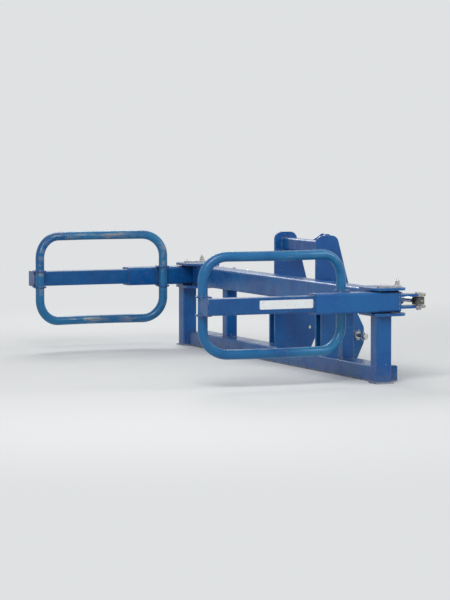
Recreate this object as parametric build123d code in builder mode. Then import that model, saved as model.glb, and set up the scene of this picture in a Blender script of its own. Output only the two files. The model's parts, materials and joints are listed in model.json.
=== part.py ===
from build123d import *
import math
import os

os.makedirs("parts", exist_ok=True)

# A bale grab for a tractor's three-point linkage. Two arms swing on upright pins at the ends of a
# cross frame, and each arm presses a bowed tubular hand against the round side of a wrapped bale.
# Millimetres. X points to the tractor, Y to its left, Z up. The origin is on the ground, at the
# middle of the grab's length and width. Sizes named from_pivot are measured from the arm pivots.

# Arm pivots and arm height
pivot_half_span = 1500
arm_height = 500
running_gap = 0.05
side_gap = 0.5

# Arms: a square sleeve round the pivot, with a lighter square beam inside it
sleeve_size = 125
sleeve_wall = 8
sleeve_front_from_pivot = 94
sleeve_rear_from_pivot = 473
sleeve_lip = 8
beam_size = 100
beam_wall = 4
beam_front_from_pivot = 62
beam_cap = 5

# Pivot boss and pivot pin
boss_radius = 36
pivot_pin_radius = 22.5
pin_tail = 12
flag_thickness = 12
flag_width = 52
flag_reach = 112
keeper_hole_radius = 8.5
pin_chamfer = 3

# Hands: a bent round tube, bowed in plan to suit a round bale
ring_tube_radius = 30.15
ring_tube_wall = 3.6
ring_front_from_pivot = 228
ring_rear_from_pivot = 1149
ring_half_height = 294
ring_corner_radius = 150
ring_wrap_angle = 12
collar_thickness = 10
collar_margin = 14
spacer_length = 64

# Crank fork at the front of each arm, and its pin
crank_reach = 260
fork_plate_thickness = 16
fork_gap = 56
fork_tip_radius = 42
fork_root_width = 110
fork_end_plate = 12
link_pin_radius = 15
link_pin_head_radius = 24
link_pin_head = 8
link_pin_tail = 14
link_pin_edge = 2
lug_root = 4

# Cross frame
beam_from_pivot = 60
arm_clearance = 7.5
top_beam_wall = 8
top_beam_end_gap = 120
jaw_thickness = 16
jaw_rear_from_pivot = 75
jaw_outer_from_pivot = 78
jaw_inner_from_pivot = 220
jaw_corner_radius = 60
jaw_lap = 20
post_size = 100
post_wall = 6
foot_thickness = 8
foot_overhang = 10
lower_beam_depth = 160
lower_beam_height = 100
lower_beam_wall = 6
strut_size = 80
strut_wall = 5
strut_half_span = 900

# Headstock, to category 2 of the three-point linkage
lower_pin_radius = 14
lower_pin_shoulder_half_span = 412.5
lower_pin_free_length = 110
lower_pin_collar = 10
lower_pin_collar_radius = 23
lower_pin_height = 200
lower_pin_from_pivot = 390
lower_pin_edge = 50
mast_height = 610
mast_plate_thickness = 20
hitch_plate_thickness = 16
hitch_plate_gap = 60
hitch_plate_drop = 10
mast_margin = 40
mast_top_depth = 150
plate_toe = 230
tie_size = 80
tie_wall = 6
tie_from_pivot = 220
top_link_gap = 52
top_link_plate_thickness = 16
top_link_bore_radius = 13
top_link_bore_from_pivot = 350
top_link_edge = 36

# Hydraulic cylinders
anchor_half_span = 880
anchor_from_pivot = 215
anchor_plate_thickness = 14
anchor_tip_radius = 36
anchor_root_width = 90
eye_thickness = 45
base_eye_radius = 32
rod_eye_radius = 38
barrel_radius = 37.5
barrel_wall = 6
barrel_start = 46
barrel_end = 400
gland_radius = 41
gland_length = 34
bore_floor = 20
rod_radius = 17.5
piston_length = 30
piston_start = 210
port_radius = 14
port_height = 12
port_inset = 28
arm_half_swing = 14

# Places worked out from the sizes above
beam_rear_from_pivot = ring_rear_from_pivot + ring_tube_radius
arm_reach = beam_rear_from_pivot + collar_margin
hitch_reach = lower_pin_from_pivot + lower_pin_edge
pivot_x = (arm_reach - hitch_reach) / 2
sleeve_half = sleeve_size / 2
beam_half = beam_size / 2
top_beam_size = sleeve_size + 2 * arm_clearance
top_beam_half = top_beam_size / 2
top_beam_half_length = pivot_half_span - top_beam_end_gap
boss_half_height = top_beam_half - side_gap
ring_inset = sleeve_half + ring_tube_radius
beam_x = pivot_x + beam_from_pivot
hitch_plate_outer = lower_pin_shoulder_half_span - lower_pin_collar
hitch_plate_top = arm_height + top_beam_half - hitch_plate_drop
mast_plate_outer = hitch_plate_outer - hitch_plate_thickness - hitch_plate_gap
mast_plate_inner = mast_plate_outer - mast_plate_thickness
top_link_height = lower_pin_height + mast_height
mast_top = top_link_height + mast_margin

# The crank pin runs on an arc, so the rod's eye is set back by half the arc's rise, and its bore
# has that much play all round.
arc_rise = crank_reach * (1 - math.cos(math.radians(arm_half_swing)))
rod_eye_set_back = arc_rise / 2
rod_eye_play = rod_eye_set_back + 0.8

sides = (("right", -1), ("left", 1))


def finish(builder, name):
    """Labels a finished piece and writes its STEP file."""
    builder.part.label = name
    export_step(builder.part, f"parts/{name}.step")


def hollow_section(plane, width, height, length, wall, start_cap, end_cap):
    """Adds a rolled rectangular tube along the plane's normal, closed by caps of these thicknesses."""
    with BuildSketch(plane) as outside:
        RectangleRounded(width, height, 2 * wall)
    extrude(outside.sketch, amount=length)
    with BuildSketch(plane.offset(start_cap)) as inside:
        RectangleRounded(width - 2 * wall, height - 2 * wall, wall)
    extrude(inside.sketch, amount=length - start_cap - end_cap, mode=Mode.SUBTRACT)


def along_y(x, y, z):
    """A plane whose normal is +Y, with its first axis along +X."""
    return Plane(origin=(x, y, z), x_dir=(1, 0, 0), z_dir=(0, 1, 0))


def along_x(x, y, z):
    """A plane whose normal is +X, with its first axis along +Y."""
    return Plane(origin=(x, y, z), x_dir=(0, 1, 0), z_dir=(1, 0, 0))


# Cross frame: a heavy top beam between the arms, and a lower beam that it stands on
with BuildPart() as top_beam:
    start = along_y(beam_x, -top_beam_half_length, arm_height)
    hollow_section(start, top_beam_size, top_beam_size, 2 * top_beam_half_length,
                   top_beam_wall, top_beam_wall, top_beam_wall)
finish(top_beam, "top_beam")

lower_beam_half_length = pivot_half_span - post_size / 2
with BuildPart() as lower_beam:
    start = along_y(beam_x, -lower_beam_half_length, lower_beam_height / 2)
    hollow_section(start, lower_beam_depth, lower_beam_height, 2 * lower_beam_half_length,
                   lower_beam_wall, lower_beam_wall, lower_beam_wall)
finish(lower_beam, "lower_beam")

# Upright struts between the two beams, and the end posts under the arm pivots. A post's foot plate
# stands out on the three sides that the lower beam leaves free.
strut_length = arm_height - top_beam_half - lower_beam_height
post_top = arm_height - top_beam_half - jaw_thickness
for side, sign in sides:
    with BuildPart() as strut:
        foot = Plane(origin=(beam_x, sign * strut_half_span, lower_beam_height))
        hollow_section(foot, strut_size, strut_size, strut_length, strut_wall, 0, 0)
    finish(strut, f"{side}_strut")

    with BuildPart() as post:
        foot = Plane(origin=(pivot_x, sign * pivot_half_span, 0))
        hollow_section(foot, post_size, post_size, post_top, post_wall, foot_thickness, 0)
        with BuildSketch(foot):
            with Locations((0, sign * foot_overhang / 2)):
                Rectangle(post_size + 2 * foot_overhang, post_size + foot_overhang)
        extrude(amount=foot_thickness)
    finish(post, f"{side}_post")

# Jaws: a plate above and a plate below each arm, welded on the ends of the top beam
jaw_front_from_pivot = beam_from_pivot + top_beam_half + jaw_lap
jaw_length = jaw_front_from_pivot + jaw_rear_from_pivot
jaw_width = jaw_outer_from_pivot + jaw_inner_from_pivot
jaw_x = pivot_x + (jaw_front_from_pivot - jaw_rear_from_pivot) / 2
jaw_y = pivot_half_span + (jaw_outer_from_pivot - jaw_inner_from_pivot) / 2
jaw_bottoms = (("upper", arm_height + top_beam_half), ("lower", post_top))
for side, sign in sides:
    for level, bottom in jaw_bottoms:
        with BuildPart() as jaw:
            with BuildSketch(Plane.XY.offset(bottom)) as outline:
                with Locations((jaw_x, sign * jaw_y)):
                    Rectangle(jaw_length, jaw_width)
                outer = outline.vertices().group_by(Axis.Y)[-1 if sign > 0 else 0]
                fillet(outer, jaw_corner_radius)
                inner = outline.vertices().group_by(Axis.Y)[0 if sign > 0 else -1]
                chamfer(inner.sort_by(Axis.X)[:1], jaw_length - jaw_lap - top_beam_size)
                with Locations((pivot_x, sign * pivot_half_span)):
                    Circle(pivot_pin_radius + running_gap, mode=Mode.SUBTRACT)
                if level == "upper":
                    with Locations((pivot_x + flag_reach, sign * pivot_half_span)):
                        Circle(keeper_hole_radius, mode=Mode.SUBTRACT)
            extrude(amount=jaw_thickness)
        finish(jaw, f"{side}_jaw_{level}")

# Pivot pins: each hangs from a flag that one bolt holds down on the upper jaw
flag_bottom = arm_height + top_beam_half + jaw_thickness
for side, sign in sides:
    with BuildPart() as pivot_pin:
        with BuildSketch(Plane.XY.offset(post_top - pin_tail)):
            with Locations((pivot_x, sign * pivot_half_span)):
                Circle(pivot_pin_radius)
        extrude(amount=flag_bottom - post_top + pin_tail)
        with BuildSketch(Plane.XY.offset(flag_bottom)):
            with Locations((pivot_x + flag_reach / 2, sign * pivot_half_span)):
                SlotCenterToCenter(flag_reach, flag_width)
            with Locations((pivot_x + flag_reach, sign * pivot_half_span)):
                Circle(keeper_hole_radius, mode=Mode.SUBTRACT)
        extrude(amount=flag_thickness)
        chamfer(pivot_pin.edges().group_by(Axis.Z)[0], pin_chamfer)
    finish(pivot_pin, f"{side}_pivot_pin")

# Headstock: tall mast plates inside, short hitch plates outside, with the lower pins through both
plate_front = pivot_x + hitch_reach
beam_face = beam_x + top_beam_half
lower_face = beam_x + lower_beam_depth / 2
plate_chin = lower_pin_height - lower_pin_edge
plate_brow = lower_pin_height + lower_pin_edge
plates = (
    # name, height of the top edge, depth along the top edge, inner face, thickness
    ("mast_plate", mast_top, mast_top_depth, mast_plate_inner, mast_plate_thickness),
    ("hitch_plate", hitch_plate_top, mast_top_depth, hitch_plate_outer - hitch_plate_thickness,
     hitch_plate_thickness),
)
for side, sign in sides:
    for plate_name, top, top_depth, inner_face, thickness in plates:
        face = Plane(origin=(0, sign * inner_face, 0), x_dir=(1, 0, 0), z_dir=(0, -1, 0))
        with BuildPart() as plate:
            with BuildSketch(face) as outline:
                with BuildLine():
                    Polyline(
                        (lower_face, 0),
                        (lower_face + plate_toe, 0),
                        (plate_front, plate_chin),
                        (plate_front, plate_brow),
                        (beam_face + top_depth, top),
                        (beam_face, top),
                        (beam_face, lower_beam_height),
                        (lower_face, lower_beam_height),
                        close=True,
                    )
                make_face()
                fillet(outline.vertices().group_by(Axis.X)[-1], lower_pin_edge)
                fillet(outline.vertices().group_by(Axis.Y)[-1], lower_pin_edge)
                with Locations((pivot_x + lower_pin_from_pivot, lower_pin_height)):
                    Circle(lower_pin_radius + running_gap, mode=Mode.SUBTRACT)
            extrude(amount=-sign * thickness)
        finish(plate, f"{side}_{plate_name}")

    with BuildPart() as lower_pin:
        root = along_y(pivot_x + lower_pin_from_pivot, sign * mast_plate_inner, lower_pin_height)
        with BuildSketch(root):
            Circle(lower_pin_radius)
        shank = lower_pin_shoulder_half_span + lower_pin_free_length - mast_plate_inner
        extrude(amount=sign * shank)
        chamfer(lower_pin.edges().sort_by(Axis.Y)[-1 if sign > 0 else 0], pin_chamfer)
        with BuildSketch(root.offset(sign * (hitch_plate_outer - mast_plate_inner))):
            Circle(lower_pin_collar_radius)
        extrude(amount=sign * lower_pin_collar)
    finish(lower_pin, f"{side}_lower_pin")

# The tie joins the mast plates, and carries the two ears of the top link
tie_length = 2 * mast_plate_inner
with BuildPart() as tie:
    start = along_y(pivot_x + tie_from_pivot, -mast_plate_inner, top_link_height - tie_size / 2)
    hollow_section(start, tie_size, tie_size, tie_length, tie_wall, 0, 0)
finish(tie, "headstock_tie")

tie_front = tie_from_pivot + tie_size / 2
with BuildPart() as top_link_ears:
    for sign in (-1, 1):
        middle = sign * (top_link_gap + top_link_plate_thickness) / 2
        face = Plane(origin=(0, middle, 0), x_dir=(1, 0, 0), z_dir=(0, -1, 0))
        with BuildSketch(face) as ear:
            with Locations((pivot_x + top_link_bore_from_pivot, top_link_height)):
                Circle(top_link_edge)
            with Locations((pivot_x + tie_front + lug_root / 2, top_link_height - tie_size / 2)):
                Rectangle(lug_root, tie_size - 4 * tie_wall)
            make_hull()
            with Locations((pivot_x + top_link_bore_from_pivot, top_link_height)):
                Circle(top_link_bore_radius, mode=Mode.SUBTRACT)
        extrude(amount=top_link_plate_thickness / 2, both=True)
finish(top_link_ears, "top_link_ears")


def arm_sleeve(sign):
    """The square sleeve with the pivot boss through it, and a lip that closes round the beam."""
    y = sign * pivot_half_span
    with BuildPart() as sleeve:
        rear = along_x(pivot_x - sleeve_rear_from_pivot, y, arm_height)
        length = sleeve_rear_from_pivot + sleeve_front_from_pivot
        hollow_section(rear, sleeve_size, sleeve_size, length, sleeve_wall, sleeve_lip, 0)
        with BuildSketch(rear):
            RectangleRounded(beam_size, beam_size, 2 * beam_wall)
        extrude(amount=sleeve_lip, mode=Mode.SUBTRACT)
        with BuildSketch(Plane.XY.offset(arm_height - boss_half_height)):
            with Locations((pivot_x, y)):
                Circle(boss_radius)
        extrude(amount=2 * boss_half_height)
        with BuildSketch(Plane.XY.offset(arm_height - boss_half_height)):
            with Locations((pivot_x, y)):
                Circle(pivot_pin_radius + running_gap)
        extrude(amount=2 * boss_half_height, mode=Mode.SUBTRACT)
    return sleeve


def arm_beam(sign):
    """The lighter beam, from inside the sleeve to the rear of the hand."""
    with BuildPart() as beam:
        rear = along_x(pivot_x - beam_rear_from_pivot, sign * pivot_half_span, arm_height)
        length = beam_rear_from_pivot - beam_front_from_pivot
        hollow_section(rear, beam_size, beam_size, length, beam_wall, beam_cap, beam_cap)
    return beam


def hand_ring(sign):
    """The bent tube of a hand: upright at front and rear, bowed outwards along top and bottom."""
    wrap = math.radians(ring_wrap_angle)
    corner = ring_corner_radius
    front = pivot_x - ring_front_from_pivot
    rear = pivot_x - ring_rear_from_pivot
    y = sign * (pivot_half_span - ring_inset)
    top = arm_height + ring_half_height
    corner_x = corner * math.cos(wrap)
    bow_y = y + sign * corner * math.sin(wrap)
    bow_radius = (front - rear - 2 * corner_x) / (2 * math.sin(wrap))
    bow_depth = sign * bow_radius * (1 - math.cos(wrap))
    bow_front = (front - corner_x, bow_y, top)
    bow_middle = ((front + rear) / 2, bow_y + bow_depth, top)
    bow_rear = (rear + corner_x, bow_y, top)
    up = (0, 0, 1)
    with BuildPart() as ring:
        with BuildLine() as path:
            Line((front, y, arm_height), (front, y, top - corner))
            TangentArc((front, y, top - corner), bow_front, tangent=up)
            ThreePointArc(bow_front, bow_middle, bow_rear)
            TangentArc((rear, y, top - corner), bow_rear, tangent=up)
            Line((rear, y, top - corner), (rear, y, arm_height))
        with BuildSketch(Plane(origin=(front, y, arm_height))):
            Circle(ring_tube_radius)
            Circle(ring_tube_radius - ring_tube_wall, mode=Mode.SUBTRACT)
        sweep(path=path.wire())
        mirror(about=Plane.XY.offset(arm_height))
    return ring


def ring_collars(sign):
    """Four plates that hold the hand's uprights on the arm, and the spacer behind the rear one."""
    y = sign * (pivot_half_span - ring_inset)
    reach = ring_inset - beam_half / 2
    uprights = ((ring_front_from_pivot, sleeve_half), (ring_rear_from_pivot, beam_half))
    with BuildPart() as collars:
        for from_pivot, half in uprights:
            x = pivot_x - from_pivot
            for bottom in (arm_height + half, arm_height - half - collar_thickness):
                with BuildSketch(Plane.XY.offset(bottom)) as plate:
                    with Locations((x, y)):
                        Circle(ring_tube_radius + collar_margin)
                    with Locations((x, y + sign * reach / 2)):
                        Rectangle(2 * ring_tube_radius, reach)
                    with Locations((x, y)):
                        Circle(ring_tube_radius, mode=Mode.SUBTRACT)
                extrude(amount=collar_thickness)
        spacer = sleeve_half - beam_half
        spacer_y = sign * (pivot_half_span - beam_half - spacer / 2)
        with Locations((pivot_x - ring_rear_from_pivot, spacer_y, arm_height)):
            Box(2 * ring_tube_radius, spacer, spacer_length)
    return collars


def crank_fork(sign):
    """The plate that closes the sleeve's front end, with the two lugs of the crank."""
    y = sign * pivot_half_span
    root = pivot_x + sleeve_front_from_pivot
    with BuildPart() as fork:
        with BuildSketch(along_x(root, y, arm_height)):
            RectangleRounded(sleeve_size, sleeve_size, 2 * sleeve_wall)
        extrude(amount=fork_end_plate)
        for bottom in (arm_height + fork_gap / 2, arm_height - fork_gap / 2 - fork_plate_thickness):
            with BuildSketch(Plane.XY.offset(bottom)) as lug:
                with Locations((pivot_x + crank_reach, y)):
                    Circle(fork_tip_radius)
                with Locations((root + fork_end_plate + lug_root / 2, y)):
                    Rectangle(lug_root, fork_root_width)
                make_hull()
                with Locations((pivot_x + crank_reach, y)):
                    Circle(link_pin_radius + running_gap, mode=Mode.SUBTRACT)
            extrude(amount=fork_plate_thickness)
    return fork


def link_pin(x, y, plate_thickness):
    """A headed pin through the two lugs of a fork or an anchor."""
    half = fork_gap / 2 + plate_thickness
    with BuildPart() as pin:
        with BuildSketch(Plane.XY.offset(arm_height - half - link_pin_tail)):
            with Locations((x, y)):
                Circle(link_pin_radius)
        extrude(amount=2 * half + link_pin_tail)
        chamfer(pin.edges().group_by(Axis.Z)[0], link_pin_edge)
        with BuildSketch(Plane.XY.offset(arm_height + half)):
            with Locations((x, y)):
                Circle(link_pin_head_radius)
        extrude(amount=link_pin_head)
        fillet(pin.edges().group_by(Axis.Z)[-1], link_pin_edge)
    return pin


def cylinder_anchor(sign):
    """Two ears on the front of the top beam that hold a cylinder's base."""
    y = sign * anchor_half_span
    with BuildPart() as anchor:
        for bottom in (arm_height + fork_gap / 2, arm_height - fork_gap / 2 - anchor_plate_thickness):
            with BuildSketch(Plane.XY.offset(bottom)):
                with Locations((pivot_x + anchor_from_pivot, y)):
                    Circle(anchor_tip_radius)
                with Locations((beam_face + lug_root / 2, y)):
                    Rectangle(lug_root, anchor_root_width)
                make_hull()
                with Locations((pivot_x + anchor_from_pivot, y)):
                    Circle(link_pin_radius + running_gap, mode=Mode.SUBTRACT)
            extrude(amount=anchor_plate_thickness)
    return anchor


def cylinder_plane(sign):
    """A level plane at the cylinder's base pin, with its first axis along the cylinder."""
    base = Vector(pivot_x + anchor_from_pivot, sign * anchor_half_span, arm_height)
    eye = Vector(pivot_x + crank_reach - rod_eye_set_back, sign * pivot_half_span, arm_height)
    return Plane(origin=base, x_dir=eye - base, z_dir=(0, 0, 1)), (eye - base).length


def cylinder_barrel(sign):
    """Barrel with its base eye, gland and two port bosses."""
    plane, _ = cylinder_plane(sign)
    axis = Axis(plane.origin, plane.x_dir)
    inner = barrel_radius - barrel_wall
    outline = (
        (barrel_start, 0),
        (barrel_start, barrel_radius),
        (barrel_end - gland_length, barrel_radius),
        (barrel_end - gland_length, gland_radius),
        (barrel_end, gland_radius),
        (barrel_end, rod_radius + running_gap),
        (barrel_end - gland_length / 2, rod_radius + running_gap),
        (barrel_end - gland_length / 2, inner),
        (barrel_start + bore_floor, inner),
        (barrel_start + bore_floor, 0),
    )
    with BuildPart() as barrel:
        with BuildSketch(plane):
            with BuildLine():
                Polyline(*outline, close=True)
            make_face()
        revolve(axis=axis)
        with BuildSketch(plane.offset(-eye_thickness / 2)):
            Circle(base_eye_radius)
            with Locations((barrel_start / 2, 0)):
                Rectangle(barrel_start, 2 * base_eye_radius)
            Circle(link_pin_radius + running_gap, mode=Mode.SUBTRACT)
        extrude(amount=eye_thickness)
        ports = (barrel_start + port_inset, barrel_end - gland_length - port_inset)
        with BuildSketch(plane.offset(inner + barrel_wall / 2)):
            with Locations(*[(place, 0) for place in ports]):
                Circle(port_radius)
        extrude(amount=barrel_wall / 2 + port_height)
    return barrel


def cylinder_rod(sign):
    """Piston, rod and rod eye, as they stand at rest."""
    plane, length = cylinder_plane(sign)
    axis = Axis(plane.origin, plane.x_dir)
    piston_radius = barrel_radius - barrel_wall - running_gap
    with BuildPart() as rod:
        with BuildSketch(plane):
            with Locations((piston_start + piston_length / 2, piston_radius / 2)):
                Rectangle(piston_length, piston_radius)
            with Locations(((piston_start + length - link_pin_radius) / 2, rod_radius / 2)):
                Rectangle(length - link_pin_radius - piston_start, rod_radius)
        revolve(axis=axis)
        with BuildSketch(plane.offset(-eye_thickness / 2)):
            with Locations((length, 0)):
                Circle(rod_eye_radius)
        extrude(amount=eye_thickness)
        with BuildSketch(plane.offset(-eye_thickness / 2)):
            with Locations((length, 0)):
                Circle(link_pin_radius + rod_eye_play)
        extrude(amount=eye_thickness, mode=Mode.SUBTRACT)
    return rod


for side, sign in sides:
    finish(arm_sleeve(sign), f"{side}_arm_sleeve")
    finish(arm_beam(sign), f"{side}_arm_beam")
    finish(hand_ring(sign), f"{side}_hand_ring")
    finish(ring_collars(sign), f"{side}_ring_collars")
    finish(crank_fork(sign), f"{side}_crank_fork")
    crank_x = pivot_x + crank_reach
    finish(link_pin(crank_x, sign * pivot_half_span, fork_plate_thickness), f"{side}_crank_pin")
    finish(cylinder_anchor(sign), f"{side}_cylinder_anchor")
    anchor_x = pivot_x + anchor_from_pivot
    finish(link_pin(anchor_x, sign * anchor_half_span, anchor_plate_thickness), f"{side}_anchor_pin")
    finish(cylinder_barrel(sign), f"{side}_cylinder_barrel")
    finish(cylinder_rod(sign), f"{side}_cylinder_rod")
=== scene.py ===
import json
import math

import bpy
import numpy as np
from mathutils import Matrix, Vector


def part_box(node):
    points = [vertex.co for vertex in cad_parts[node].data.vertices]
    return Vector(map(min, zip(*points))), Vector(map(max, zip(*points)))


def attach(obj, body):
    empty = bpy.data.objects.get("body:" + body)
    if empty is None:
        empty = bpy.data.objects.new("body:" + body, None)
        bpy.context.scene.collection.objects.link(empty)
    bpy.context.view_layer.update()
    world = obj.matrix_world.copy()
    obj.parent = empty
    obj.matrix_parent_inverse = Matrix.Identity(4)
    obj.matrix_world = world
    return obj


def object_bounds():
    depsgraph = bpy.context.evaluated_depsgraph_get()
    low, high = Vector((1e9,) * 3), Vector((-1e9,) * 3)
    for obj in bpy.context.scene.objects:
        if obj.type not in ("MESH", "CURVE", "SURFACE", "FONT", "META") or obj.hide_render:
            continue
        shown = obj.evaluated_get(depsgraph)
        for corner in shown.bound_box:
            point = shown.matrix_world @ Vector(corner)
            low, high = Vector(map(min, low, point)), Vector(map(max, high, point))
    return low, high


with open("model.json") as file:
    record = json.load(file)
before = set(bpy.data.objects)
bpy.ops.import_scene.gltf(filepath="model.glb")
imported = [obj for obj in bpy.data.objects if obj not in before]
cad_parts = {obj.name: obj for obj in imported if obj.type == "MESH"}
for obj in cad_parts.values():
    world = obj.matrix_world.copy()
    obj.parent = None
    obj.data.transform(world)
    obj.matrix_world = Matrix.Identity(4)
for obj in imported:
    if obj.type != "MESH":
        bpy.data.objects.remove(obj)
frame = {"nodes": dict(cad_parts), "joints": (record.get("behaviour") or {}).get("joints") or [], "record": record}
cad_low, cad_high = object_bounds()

# The looks of a bale grab: glossy blue paint with dust, mud and worn edges, zinc pins and nuts,
# black cylinders with chrome rods, welds, grease nipples and linch pins. Metres, in the CAD's frame.

SIDES = (("right", -1), ("left", 1))
X, Y, Z = (1, 0, 0), (0, 1, 0), (0, 0, 1)

# The photograph's view. Angles are in degrees, and the sensor in millimetres.
VIEW_AZIMUTH = -24
VIEW_ELEVATION = 4
VIEW_DISTANCE = 18
VIEW_WIDTH = 2.95
VIEW_END = 200
PHOTO_WIDTH, PHOTO_HEIGHT = 450, 600
SENSOR = 36

# Floor, backdrop and light
FLOOR_RADIUS = 90
FLOOR_DROP = 0.0005
FLOOR_CLEAR = 2.3
FLOOR_FADED = 6.5
FLOOR_COLOR = (0.70, 0.70, 0.69)
FLOOR_ROUGHNESS = 0.8
BACKDROP = (0.74, 0.755, 0.77)
WORLD_LIGHT = (0.90, 0.95, 1.0)
WORLD_STRENGTH = 0.42
LAMP_TARGET = (0, 0, 0.4)
LAMPS = (
    # name, place, width, power
    ("key_lamp", (-3.4, -5.2, 5.0), 3.2, 265),
    ("fill_lamp", (4.6, -3.8, 3.2), 3.0, 100),
    ("back_lamp", (1.0, 5.4, 4.6), 3.5, 185),
)

# Colours, as linear red, green and blue
BLUE = (0.0008, 0.070, 0.268)
FADED_BLUE = (0.003, 0.100, 0.300)
BEAM_BLUE = (0.003, 0.073, 0.238)
FADED_BEAM = (0.006, 0.105, 0.290)
# The hands' rings: blue paint with a painted reflection of the sky, which makes them paler and more cyan than the
# rest
SKY_TINTED_RING_BLUE = (0.003, 0.104, 0.278)
FADED_SKY_TINTED_RING = (0.012, 0.158, 0.335)
DEEP_BLUE = (0.0004, 0.042, 0.185)
STEEL = (0.36, 0.35, 0.33)
RUST = (0.17, 0.062, 0.022)
DUST = (0.31, 0.30, 0.24)
DUST_FILM = (0.19, 0.27, 0.29)
MUD = (0.15, 0.105, 0.065)
SCUFFED = (0.33, 0.35, 0.36)
ZINC_GREY = (0.58, 0.585, 0.57)
DULL_ZINC = (0.40, 0.40, 0.385)
BRIGHT_ZINC = (0.70, 0.70, 0.69)
SATIN_BLACK = (0.018, 0.018, 0.019)
FADED_BLACK = (0.035, 0.035, 0.036)
EYE_BLACK = (0.02, 0.02, 0.021)
CHROME = (0.60, 0.61, 0.62)
OILED_CHROME = (0.46, 0.47, 0.485)
BRIGHT_CHROME = (0.70, 0.71, 0.72)
# White vinyl with a faint painted blue tint of sky light
SKY_TINTED_VINYL = (0.74, 0.77, 0.79)
YELLOWED_VINYL = (0.66, 0.68, 0.66)
RUBBER_BLACK = (0.02, 0.02, 0.02)
DUSTY_RUBBER = (0.06, 0.055, 0.05)

# The gloss over each paint and over the label
BLUE_GLOSS = {"Specular IOR Level": 0.35, "Coat Weight": 0.12, "Coat Roughness": 0.10}
BLACK_GLOSS = {"Coat Weight": 0.15, "Coat Roughness": 0.2}
VINYL_GLOSS = {"Coat Weight": 0.2, "Coat Roughness": 0.15}

# Where the Mix node has its two inputs and its result, for values and for colours
MIX_SOCKETS = {"FLOAT": (2, 3, 0), "RGBA": (6, 7, 2)}

# Wear and dirt: where each begins and where it is full, how far it reaches, and how high it stands
MASK_SAMPLES = 6
EDGE_COSINES = (0.985, 0.93)
HOLLOW_SKY = (0.85, 0.35)
BLUE_EDGE = 0.0035
BLACK_EDGE = 0.002
GRIME_REACH = 0.035
MUD_HEIGHTS = (0.13, 0.0)
MUD_THICKNESS = 0.0005
SCUFF_HEIGHTS = (0.014, 0.004)
BLUE_GRAIN = 0.00006
BLUE_THICKNESS = 0.00012
BLACK_GRAIN = 0.00004
ZINC_GRAIN = 0.00002
VINYL_GRAIN = 0.00002
ZINC_RUST_REACH = 0.02
ROD_EYE_PAINT = 0.055
ROD_EYE_PAINT_EDGE = 0.003
FORK_RUBBED = 0.060
HITCH_RUBBED = 0.034
EAR_RUBBED = 0.018
RUBBED_EDGE = 0.008
RUBBED_RAGGED = 0.02
# The normal's y times the place's y, on the side of the hands that faces the middle of the grab
WRAP_RUBBED = (-0.85, -1.30)

# Rounded edges of the pieces cut from plate, and the angles in degrees above which an edge is sharp
SHARP_NODES = ("jaw_upper", "jaw_lower", "mast_plate", "hitch_plate", "top_link_ears", "cylinder_anchor",
               "ring_collars", "crank_fork")
MERGE_DISTANCE = 0.00001
EDGE_WIDTH = 0.0012
EDGE_SEGMENTS = 2
EDGE_ANGLE = 35
CREASE = 40
WELD_CREASE = 60

# Sizes that the CAD gives its pieces
RING_TUBE = 0.03015
COLLAR_PLATE = 0.010
BEAM_CAP = 0.005
CAP_CORNER = 0.008
BOSS_RADIUS = 0.036
FLAG_REACH = 0.112
FORK_END_PLATE = 0.012
FORK_PLATE = 0.016
FORK_GAP = 0.056
FORK_ROOT = 0.110
LINK_PIN_RADIUS = 0.015
LINK_PIN_TAIL = 0.014
POST_HALF = 0.050
FOOT_PLATE = 0.008
SECTION_CORNER = 0.012
BEAM_CORNER = 0.016
LOWER_COLLAR = 0.023
LOWER_PIN = 0.014
ANCHOR_PLATE = 0.014
EAR_PLATE = 0.016
BARREL_START, BARREL_END = 0.046, 0.400
BARREL_RADIUS = 0.0375
PORT_RADIUS = 0.014
PORTS = (0.074, 0.338)
ROD_EYE_RADIUS = 0.038

# Welds. The jaws' beads lie in the groove beside the top beam's rounded corners.
WELD_RADIUS = 0.0045
WELD_PITCH = 0.008
WELD_RIPPLE = 0.13
WELD_UNEVENNESS = 0.03
RINGS_PER_RIPPLE = 3
FEWEST_RIPPLES = 3
CAP_WELD_RADIUS = WELD_RADIUS * 0.6
PORT_WELD_RADIUS = WELD_RADIUS * 0.7
FORK_WELD_INSET = 0.005
JAW_WELD_INSET = BEAM_CORNER * 0.4
JAW_WELD_SINK = JAW_WELD_INSET / 3
random_stream = np.random.default_rng(7)

# The label
LABEL_GAP = 0.012
LABEL_LENGTH = 0.355
LABEL_HEIGHT = 0.054
LABEL_RISE = 0.006
LABEL_THICKNESS = 0.0008
LABEL_CORNER = 0.008

# The keepers' nuts. Heights and the bolt's radius are shares of the nut's width across its flats.
KEEPER_FLATS = 0.026
KEEPER_TURN = 0.3
WASHER_HEIGHT = 0.13
NUT_HEIGHT = 0.60
LOCK_NUT_HEIGHT = 0.38
LOCK_NUT_TURN = 0.45
BOLT_RADIUS = 0.31
# The thread's half pitch and root, and how deep the bolt's end is seated, are shares of its radius.
HALF_PITCH = 0.16
THREAD_ROOT = 0.94
THREAD_STEPS = 11
BOLT_SEAT = 0.2

# Split pins, through the tails of the link pins
PIN_WASHER_THICKNESS = 0.0032
SPLIT_PIN_WIRE = 0.0018
SPLIT_PIN_EYE = 0.0040
SPLIT_PIN_EYE_WIRE = SPLIT_PIN_WIRE * 0.9
SPLIT_PIN_DROP = SPLIT_PIN_WIRE * 1.7
SPLIT_PIN_LEG_RISE = SPLIT_PIN_WIRE * 0.7
SPLIT_PIN_SPREAD = 0.010
SPLIT_PIN_BEND = SPLIT_PIN_SPREAD * 0.3
SPLIT_PIN_TIP = 0.001

# Linch pins, through the ends of the lower link pins
LINCH_PIN_INSET = 0.013
LINCH_PIN_LENGTH = 0.040
LINCH_PIN_DROP = 0.024
LINCH_HEAD_OVERLAP = 0.001
LINCH_RING = 0.024
LINCH_RING_WIRE = 0.0021
LINCH_RING_LEAN = LINCH_RING / 3
LINCH_RING_DROP = 0.003

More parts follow.
